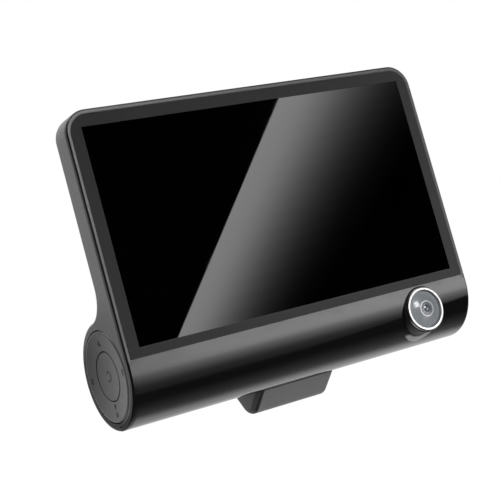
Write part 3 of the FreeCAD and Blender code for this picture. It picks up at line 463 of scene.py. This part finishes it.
def circuit_board(name, colour):
    """Green solder mask over copper tracks that run in straight lines."""
    paint = Paint(name, colour, 0.35, Coat_Weight=0.2)
    tracks = paint.node("ShaderNodeTexBrick")
    tracks.inputs["Scale"].default_value = 1.0 / (3.2 * MM)
    tracks.inputs["Mortar Size"].default_value = 0.03
    tracks.inputs["Color1"].default_value = (*toned(colour, 0.8), 1)
    tracks.inputs["Color2"].default_value = (*toned(colour, 1.1), 1)
    tracks.inputs["Mortar"].default_value = (colour[0] * 2.5, colour[1] * 1.9, colour[2] * 1.6, 1)
    paint.link(paint.coordinates, tracks.inputs["Vector"])
    paint.link(tracks.outputs["Color"], paint.shader.inputs["Base Color"])
    paint.vary_rough(paint.noise(0.7 * MM, 3), 0.08)
    paint.bump(tracks.outputs["Fac"], 0.03 * MM, 0.5)
    return paint.material


def film(name, colour, rough=0.3):
    paint = Paint(name, colour, rough, Coat_Weight=0.4)
    stripes = paint.node("ShaderNodeTexWave")
    stripes.inputs["Scale"].default_value = 1.0 / (6.0 * MM)
    stripes.inputs["Distortion"].default_value = 0.0
    paint.link(paint.coordinates, stripes.inputs["Vector"])
    paint.vary_colour(stripes.outputs["Fac"], 0.7, 1.15)
    paint.vary_rough(paint.noise(0.8 * MM, 3), 0.06)
    return paint.material


def printed_ink(name, colour):
    paint = Paint(name, colour, 0.55)
    paint.vary_colour(paint.noise(0.3 * MM, 3), 0.85, 1.1)
    paint.vary_rough(paint.noise(0.2 * MM, 3), 0.08)
    paint.bump(paint.noise(0.08 * MM, 2), 0.003 * MM, 0.5)
    return paint.material


def make_materials():
    made = {
        "case_gloss": cover_plastic("case_gloss", (0.0065, 0.0065, 0.007), (0.125, 0.125, 0.125)),
        "rear_case": end_ring_plastic("rear_case", (0.125, 0.125, 0.127), 0.5),
        "block_case": block_plastic("block_case", (0.14, 0.14, 0.142), 0.5),
        # Painted light and shade: the bezel lightens towards its lower right, the keys towards their lower front.
        "bezel_matt": painted_light_plastic("bezel_matt", (0.026, 0.026, 0.0265), 0.55, SCREEN, (0.65, 0.0, -0.76),
                                     46 * MM, (0.5, 1.55), Specular_IOR_Level=0.2),
        "key_matt": painted_light_plastic("key_matt", (0.070, 0.070, 0.072), 0.36, BAR_AXIS, (0.0, -0.42, -0.906),
                                   9.9 * MM, (0.38, 1.2)),
        "key_inner": moulded_plastic("key_inner", (0.06, 0.06, 0.065), 0.55),
        "socket_plastic": moulded_plastic("socket_plastic", (0.055, 0.055, 0.058), 0.5, 0.3 * MM, 0.02 * MM),
        "lens_black": moulded_plastic("lens_black", (0.012, 0.012, 0.012), 0.6, 0.1 * MM, 0.006 * MM),
        "lens_grey": moulded_plastic("lens_grey", (0.16, 0.17, 0.175), 0.4, 0.1 * MM, 0.003 * MM),
        "trim_silver": plated_metal("trim_silver", (0.6, 0.6, 0.6), 0.3),
        "trim_dark": gloss_plastic("trim_dark", (0.03, 0.03, 0.033), 0.12),
        "lens_glass": lens_glass("lens_glass", (0.75, 0.79, 0.80), 0.02, 0.9),
        "cabin_glass": cabin_glass("cabin_glass", (0.30, 0.315, 0.318)),
        # Painted highlight: the pale colour of the inner lens's edge.
        "lens_bright": moulded_plastic("lens_bright", (0.74, 0.75, 0.76), 0.3, 0.1 * MM, 0.001 * MM),
        "pupil_glass": lens_glass("pupil_glass", (0.11, 0.12, 0.125), 0.06, 0.0),
        "screen_glass": screen_black("screen_glass"),
        "panel": gloss_plastic("panel", (0.02, 0.02, 0.022), 0.2),
        "tray_metal": brushed_metal("tray_metal", (0.62, 0.62, 0.63), 0.35),
        "foam": rubber("foam", (0.03, 0.03, 0.03)),
        "silicone": rubber("silicone", (0.20, 0.20, 0.21)),
        "circuit_board": circuit_board("circuit_board", (0.02, 0.10, 0.05)),
        "chip": moulded_plastic("chip", (0.02, 0.02, 0.02), 0.45, 0.12 * MM, 0.004 * MM),
        "flex_film": film("flex_film", (0.35, 0.16, 0.04)),
        "shield_steel": brushed_metal("shield_steel", (0.62, 0.62, 0.60), 0.32),
        "port_steel": brushed_metal("port_steel", (0.66, 0.66, 0.66), 0.28, (1, 1, 0.15)),
        "port_plastic": moulded_plastic("port_plastic", (0.02, 0.02, 0.02), 0.4, 0.12 * MM, 0.004 * MM),
        "screw_steel": plated_metal("screw_steel", (0.16, 0.16, 0.17), 0.32),
        "bracket_steel": brushed_metal("bracket_steel", (0.60, 0.60, 0.60), 0.35),
        "washer_fibre": moulded_plastic("washer_fibre", (0.55, 0.50, 0.40), 0.5),
        "battery_wrap": film("battery_wrap", (0.16, 0.20, 0.42)),
        "speaker_cone": rubber("speaker_cone", (0.03, 0.03, 0.03)),
        "dome_steel": plated_metal("dome_steel", (0.75, 0.74, 0.70), 0.25),
        "ink": printed_ink("ink", (0.012, 0.012, 0.012)),
        "gold": plated_metal("gold", (0.80, 0.56, 0.20), 0.25),
    }
    return made


OWN_MATERIALS = {
    "cabin_lens_baffle": "lens_grey",
    "cabin_lens_collar": "lens_black",
    "cabin_lens_glass": "cabin_glass",
    "front_camera_cap": "block_case",
    "front_camera_housing": "block_case",
    "rear_cover": "rear_case",
}


def paint_nodes(materials):
    """Gives each CAD node the material of its slot, or its own."""
    slots = {s["node"]: s["material_slot"] for s in RECORD["subparts"]}
    for name, piece in NODES.items():
        piece.data.materials.clear()
        piece.data.materials.append(materials[OWN_MATERIALS.get(name, slots[name])])


# ---- small pieces --------------------------------------------------------------------------------------
def mesh_piece(name, bm, material, body):
    bmesh.ops.recalc_face_normals(bm, faces=bm.faces)
    data = bpy.data.meshes.new(name)
    bm.to_mesh(data)
    bm.free()
    piece = bpy.data.objects.new(name, data)
    bpy.context.scene.collection.objects.link(piece)
    data.materials.append(material)
    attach(piece, body)
    return piece


def add_prism(bm, outline, along):
    """Adds a closed prism: an outline of points carried by the vector along."""
    low = [bm.verts.new(p) for p in outline]
    high = [bm.verts.new(Vector(p) + along) for p in outline]
    bm.faces.new(low)
    bm.faces.new(list(reversed(high)))
    count = len(outline)
    for i in range(count):
        j = (i + 1) % count
        bm.faces.new((low[i], high[i], high[j], low[j]))


def add_ring_band(bm, centre, across, up, inner, outer, thickness, start=0.0, sweep=360.0, steps=40):
    """Adds a flat ring, or part of one, standing thickness along across x up."""
    normal = across.cross(up).normalized() * thickness
    closed = abs(sweep) >= 359.9
    count = steps if closed else steps + 1
    rows = []
    for i in range(count):
        a = math.radians(start + sweep * i / steps)
        way = across * math.cos(a) + up * math.sin(a)
        rows.append([bm.verts.new(p) for p in (centre + way * inner, centre + way * outer,
                                               centre + way * outer + normal, centre + way * inner + normal)])
    spans = range(count) if closed else range(count - 1)
    for i in spans:
        a, b = rows[i], rows[(i + 1) % count]
        for k in range(4):
            bm.faces.new((a[k], b[k], b[(k + 1) % 4], a[(k + 1) % 4]))
    if not closed:
        bm.faces.new(rows[0])
        bm.faces.new(list(reversed(rows[-1])))


FORE, UP, OUTWARD = Vector((0, 1, 0)), Vector((0, 0, 1)), Vector((-1, 0, 0))
MARK_DEEP, MARK_PROUD = 0.08, 0.03


def key_shape(bm, points):
    """A flat shape from (fore, up) points in millimetres from the bar's axis, waiting to be draped."""
    outline = [Vector((MARK_DEEP, BAR_AXIS.y / MM + f, BAR_AXIS.z / MM + u)) * MM for f, u in points]
    add_prism(bm, outline, OUTWARD * (MARK_DEEP + MARK_PROUD) * MM)


def key_ring(bm, fore, up, inner, outer, start=0.0, sweep=360.0):
    """A flat ring, or part of one, waiting to be draped."""
    centre = Vector((-MARK_PROUD, BAR_AXIS.y / MM + fore, BAR_AXIS.z / MM + up)) * MM
    thickness = (MARK_DEEP + MARK_PROUD) * MM
    add_ring_band(bm, centre, FORE, UP, inner * MM, outer * MM, thickness, start, sweep, 24)


def drape(bm, node):
    """Moves flat shapes along X so that they lie on the front of a CAD node."""
    mesh = NODES[node].data
    mesh.calc_loop_triangles()
    skin = BVHTree.FromPolygons([v.co for v in mesh.vertices], [t.vertices for t in mesh.loop_triangles])
    for vert in bm.verts:
        start = Vector((LEFT_END - 10 * MM, vert.co.y, vert.co.z))
        hit = skin.ray_cast(start, -OUTWARD)[0]
        vert.co.x += hit.x


def key_marks(materials):
    """Generic symbols: arrows, list lines, a square and a ring, and an open ring on the middle key."""
    bm = bmesh.new()
    key_shape(bm, [(-0.8, 7.0), (0.8, 7.0), (0.0, 8.4)])
    key_shape(bm, [(-0.7, -6.3), (0.0, -7.4), (0.7, -6.3)])
    for row in (-0.5, 0.0, 0.5):
        key_shape(bm, [(8.0, row - 0.15), (9.3, row - 0.15), (9.3, row + 0.15), (8.0, row + 0.15)])
    key_shape(bm, [(-9.2, -0.75), (-8.5, -0.75), (-8.5, 0.75), (-9.2, 0.75)])
    key_ring(bm, -0.4, -8.6, 0.3, 0.58)
    drape(bm, "nav_ring")
    mesh_piece("rocker_marks", bm, materials["ink"], "nav_ring")
    bm = bmesh.new()
    key_ring(bm, 0.0, 0.0, 0.95, 1.25, start=50, sweep=260)
    drape(bm, "ok_button")
    mesh_piece("ok_mark", bm, materials["ink"], "ok_button")


def lathe(bm, centre, across, up, along, profile, steps=48):
    """Adds a closed revolve of (radius, depth) points in millimetres about the axis along."""
    rows = []
    for i in range(steps):
        a = 2 * math.pi * i / steps
        way = across * math.cos(a) + up * math.sin(a)
        rows.append([bm.verts.new(centre + way * r * MM + along * d * MM) for r, d in profile])
    count = len(profile)
    for i in range(steps):
        a, b = rows[i], rows[(i + 1) % steps]
        for k in range(count):
            n = (k + 1) % count
            bm.faces.new((a[k], b[k], b[n], a[n]))


def shade_smooth(piece, degrees=35):
    for polygon in piece.data.polygons:
        polygon.use_smooth = True
    bpy.context.view_layer.objects.active = piece
    piece.data.set_sharp_from_angle(angle=math.radians(degrees))


# Radius and depth from the crown of the domed glass, in millimetres
INNER_RING = ((1.72, 0.12), (1.80, 0.15), (1.96, 0.19), (2.02, 0.26), (1.72, 0.30))
PUPIL_R = 0.95
PUPIL_EDGE = 0.04
PUPIL_RISE = 0.22
PUPIL_BACK = 0.3
PUPIL_HOLE = 0.02
PUPIL_STEPS = 8


def pupil_profile():
    """Outline of the domed pupil, whose top and back end just short of the axis."""
    dome = []
    for i in range(PUPIL_STEPS):
        outward = 1 - i / PUPIL_STEPS
        dome.append((PUPIL_R * outward, PUPIL_EDGE - PUPIL_RISE * (1 - outward ** 2)))
    top = (PUPIL_HOLE, PUPIL_EDGE - PUPIL_RISE)
    return [(PUPIL_HOLE, PUPIL_BACK), (PUPIL_R, PUPIL_BACK), *dome, top]


def cabin_details(materials):
    """Edge of the inner lens, pale as a painted highlight, and its pupil, which the domed glass brings up to its
    surface.
    """
    across, back = Vector((1, 0, 0)), Vector((0, 1, 0))
    crown = Vector((CABIN.x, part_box("cabin_lens_glass")[0].y, CABIN.z))
    bm = bmesh.new()
    lathe(bm, crown, across, UP, back, INNER_RING)
    # The inner lens's edge: partly the real rim, partly a painted highlight in its pale colour.
    ring = mesh_piece("cabin_inner_ring", bm, materials["lens_bright"], "case")
    shade_smooth(ring)
    bm = bmesh.new()
    lathe(bm, crown, across, UP, back, pupil_profile())
    pupil = mesh_piece("cabin_pupil", bm, materials["pupil_glass"], "case")
    shade_smooth(pupil)


def usb_contacts(materials):
    """Five gilt contacts on the tongue of the socket."""
    low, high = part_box("usb_tongue")
    pitch, half, proud = 0.8 * MM, 0.2 * MM, 0.06 * MM
    bottom, top = low.z + 0.5 * MM, high.z - 0.3 * MM
    bm = bmesh.new()
    for i in range(5):
        x = (low.x + high.x) / 2 + (i - 2) * pitch
        outline = [(x - half, high.y, bottom), (x + half, high.y, bottom),
                   (x + half, high.y, top), (x - half, high.y, top)]
        add_prism(bm, outline, Vector((0, proud, 0)))
    mesh_piece("usb_contacts", bm, materials["gold"], "case")


# ---- camera, light and ground --------------------------------------------------------------------------
def add_camera():
    """The camera, rolled about its own line of sight."""
    target = at_screen(*CAMERA_TARGET)
    place = at_screen(*CAMERA_AT)
    roll = math.radians(CAMERA_ROLL)
    forward = (target - place).normalized()
    right = forward.cross(UP).normalized()
    up = right.cross(forward)
    right, up = right * math.cos(roll) + up * math.sin(roll), up * math.cos(roll) - right * math.sin(roll)
    data = bpy.data.cameras.new("camera")
    data.lens = CAMERA_LENS
    data.sensor_width = 36.0
    data.clip_start = 0.01
    camera = bpy.data.objects.new("camera", data)
    bpy.context.scene.collection.objects.link(camera)
    camera.matrix_world = Matrix((
        (right.x, up.x, -forward.x, place.x),
        (right.y, up.y, -forward.y, place.y),
        (right.z, up.z, -forward.z, place.z),
        (0, 0, 0, 1)))
    bpy.context.scene.camera = camera


def add_card(name, corners, shade, rows=16):
    """A glowing studio card; corners run bottom left, bottom right, top right, top left, in millimetres from
    the screen, and shade(tree, uv, strength) gives its glow."""
    low_left, low_right, top_right, top_left = [Vector(c) for c in corners]
    places, maps, faces = [], [], []
    for row in range(rows + 1):
        t = row / rows
        for side, (low, top) in enumerate(((low_left, top_left), (low_right, top_right))):
            places.append(at_screen(*low.lerp(top, t)))
            maps.append((side, t))
    for row in range(rows):
        a = 2 * row
        faces.append((a, a + 1, a + 3, a + 2))
    data = bpy.data.meshes.new(name)
    data.from_pydata(places, [], faces)
    uv = data.uv_layers.new(name="UVMap")
    for loop in data.loops:
        uv.data[loop.index].uv = maps[loop.vertex_index]
    card = bpy.data.objects.new(name, data)
    bpy.context.scene.collection.objects.link(card)
    material = bpy.data.materials.new(name)
    material.use_nodes = True
    tree = material.node_tree
    tree.nodes.clear()
    glow = tree.nodes.new("ShaderNodeEmission")
    output = tree.nodes.new("ShaderNodeOutputMaterial")
    tree.links.new(glow.outputs["Emission"], output.inputs["Surface"])
    coordinates = tree.nodes.new("ShaderNodeTexCoord").outputs["UV"]
    shade(tree, coordinates, glow.inputs["Strength"])
    data.materials.append(material)
    card.visible_camera = False
    card.visible_shadow = False


def ramp_along(glow, **runs):
    """Glow that runs through (place, share) stops along X, along Y, or along both, multiplied."""
    def shade(tree, coordinates, strength):
        split = tree.nodes.new("ShaderNodeSeparateXYZ")
        tree.links.new(coordinates, split.inputs["Vector"])
        source = None
        for axis, stops in runs.items():
            curve = tree.nodes.new("ShaderNodeFloatCurve")
            points = curve.mapping.curves[0].points
            points[0].location = stops[0]
            points[1].location = stops[-1]
            for place, share in stops[1:-1]:
                points.new(place, share)
            curve.mapping.update()
            tree.links.new(split.outputs[axis], curve.inputs["Value"])
            scale = tree.nodes.new("ShaderNodeMath")
            scale.operation = "MULTIPLY"
            scale.inputs[1].default_value = glow
            tree.links.new(curve.outputs["Value"], scale.inputs[0])
            if source:
                scale.inputs[1].default_value = 1.0
                tree.links.new(source, scale.inputs[1])
            source = scale.outputs[0]
        tree.links.new(source, strength)
    return shade


# The plane of the cards, and the camera mirrored in the screen
CARD_Y = -600.0
EYE = Vector((CAMERA_AT.x, -CAMERA_AT.y, CAMERA_AT.z))


def mirrored(x, z):
    """Where the camera sees the plane of the cards, by way of the point (x, z) of the screen."""
    reach = (EYE.y - CARD_Y) / EYE.y
    return EYE.x + (x - EYE.x) * reach, EYE.z + (z - EYE.z) * reach


SCREEN_GLOW = 4.75
BAR_GLOW = 4.3


def add_screen_card():
    """The card whose slanting edge shows in the screen, bright at that edge and fading to the right."""
    edge_top, edge_low = (9.9, 27.0), (-35.58, -25.9)
    width_top, width_low = 69.0, 43.5
    fade_low = (edge_low[0] + width_low, edge_low[1])
    fade_top = (edge_top[0] + width_top, edge_top[1])
    corners = []
    for x, z in (edge_low, fade_low, fade_top, edge_top):
        card_x, card_z = mirrored(x, z)
        corners.append((card_x, CARD_Y, card_z))
    stops = [(0.0, 1.0), (0.08, 0.93), (0.16, 0.74), (0.24, 0.50), (0.32, 0.29), (0.40, 0.155), (0.48, 0.075),
             (0.56, 0.035), (0.64, 0.015), (0.75, 0.004), (1.0, 0.0)]
    add_card("screen_card", corners, ramp_along(SCREEN_GLOW, X=stops))


def add_bar_card():
    """Long card that puts the grey band along the top of the bar; it fades downwards."""
    _, top = mirrored(0, -26.0)
    left, right, low = 200, 650, top - 900
    corners = [(left, CARD_Y, low), (right, CARD_Y, low), (right, CARD_Y, top), (left, CARD_Y, top)]
    fade = [(0.0, 0.0), (0.21, 0.04), (0.45, 0.085), (0.62, 0.26), (0.76, 0.52), (0.87, 0.88), (1.0, 1.0)]
    across = [(0.0, 0.68), (0.08, 0.74), (0.26, 0.94), (0.42, 0.96), (0.58, 1.0), (1.0, 1.0)]
    add_card("bar_card", corners, ramp_along(BAR_GLOW, Y=fade, X=across))


def add_area(name, place, target, size, power, glossy=True):
    """A rectangular lamp that faces its target; without glossy it leaves no reflection of itself."""
    data = bpy.data.lights.new(name, "AREA")
    data.shape = "RECTANGLE"
    data.size, data.size_y = size
    data.energy = power
    lamp = bpy.data.objects.new(name, data)
    bpy.context.scene.collection.objects.link(lamp)
    lamp.location = place
    lamp.rotation_mode = "QUATERNION"
    lamp.rotation_quaternion = (Vector(target) - Vector(place)).to_track_quat("-Z", "Y")
    lamp.visible_glossy = glossy


ROOM_BY_Y = ((0.36, 0.0), (0.5, 0.15), (0.64, 0.33), (0.71, 0.7), (0.77, 1.0), (0.9, 0.8))
ROOM_BY_X = ((0.0, 0.12), (0.18, 0.14), (0.25, 0.5), (0.32, 0.95), (0.6, 1.0))


def add_world():
    """White behind the object; what the object reflects is a room by ROOM_BY_Y times ROOM_BY_X, dark at the
    front and at the left."""
    world = bpy.data.worlds.new("studio")
    bpy.context.scene.world = world
    world.use_nodes = True
    tree = world.node_tree
    tree.nodes.clear()
    out = tree.nodes.new("ShaderNodeOutputWorld")
    mix = tree.nodes.new("ShaderNodeMixShader")
    seen = tree.nodes.new("ShaderNodeBackground")
    room = tree.nodes.new("ShaderNodeBackground")
    path = tree.nodes.new("ShaderNodeLightPath")
    place = tree.nodes.new("ShaderNodeTexCoord")
    split = tree.nodes.new("ShaderNodeSeparateXYZ")
    product = tree.nodes.new("ShaderNodeMix")
    product.data_type = "RGBA"
    product.blend_type = "MULTIPLY"
    product.inputs["Factor"].default_value = 1.0
    seen.inputs["Color"].default_value = (1, 1, 1, 1)
    tree.links.new(place.outputs["Generated"], split.inputs["Vector"])
    for axis, socket, stops in (("Y", "A", ROOM_BY_Y), ("X", "B", ROOM_BY_X)):
        half = tree.nodes.new("ShaderNodeMapRange")
        half.inputs["From Min"].default_value = -1.0
        ramp = tree.nodes.new("ShaderNodeValToRGB")
        set_stops(ramp, stops)
        tree.links.new(split.outputs[axis], half.inputs["Value"])
        tree.links.new(half.outputs["Result"], ramp.inputs["Fac"])
        tree.links.new(ramp.outputs["Color"], product.inputs[socket])
    tree.links.new(product.outputs["Result"], room.inputs["Color"])
    tree.links.new(path.outputs["Is Camera Ray"], mix.inputs["Fac"])
    tree.links.new(room.outputs["Background"], mix.inputs[1])
    tree.links.new(seen.outputs["Background"], mix.inputs[2])
    tree.links.new(mix.outputs["Shader"], out.inputs["Surface"])


def add_floor():
    """Pale floor well below the object, evenly bright to the camera."""
    bm = bmesh.new()
    bmesh.ops.create_grid(bm, x_segments=8, y_segments=8, size=0.9)
    data = bpy.data.meshes.new("floor")
    bm.to_mesh(data)
    bm.free()
    floor = bpy.data.objects.new("floor", data)
    bpy.context.scene.collection.objects.link(floor)
    floor.location = (0, 0.35, COVER_LOW.z - 0.42)
    paint = Paint("floor", (0.85, 0.85, 0.85), 0.6)
    paint.vary_colour(paint.noise(0.2, 2), 0.99, 1.01)
    even = paint.node("ShaderNodeEmission")
    even.inputs["Strength"].default_value = 0.94
    path = paint.node("ShaderNodeLightPath")
    mix = paint.node("ShaderNodeMixShader")
    paint.link(path.outputs["Is Camera Ray"], mix.inputs["Fac"])
    paint.link(paint.shader.outputs["BSDF"], mix.inputs[1])
    paint.link(even.outputs["Emission"], mix.inputs[2])
    paint.link(mix.outputs["Shader"], paint.tree.nodes["Material Output"].inputs["Surface"])
    data.materials.append(paint.material)
    floor.visible_glossy = False


def add_lights():
    centre = at_screen(0, 10, -10)
    add_area("left_soft", centre + Vector((-0.75, 0.42, 0.5)), centre, (0.7, 0.7), 6.0, False)
    add_area("top_soft", centre + Vector((0.0, 0.25, 0.9)), centre, (0.9, 0.7), 9.0)
    add_area("front_fill", centre + Vector((-0.55, -0.75, 0.45)), centre, (0.5, 0.5), 3.0, False)
    add_area("lens_spark", CABIN + Vector((0.07, -0.57, 0.20)), CABIN, (0.16, 0.16), 1.3)


# ---- build ---------------------------------------------------------------------------------------------
bpy.context.scene.view_settings.view_transform = "Standard"
materials = make_materials()
paint_nodes(materials)
key_marks(materials)
cabin_details(materials)
usb_contacts(materials)
add_camera()
add_world()
add_floor()
add_screen_card()
add_bar_card()
add_lights()
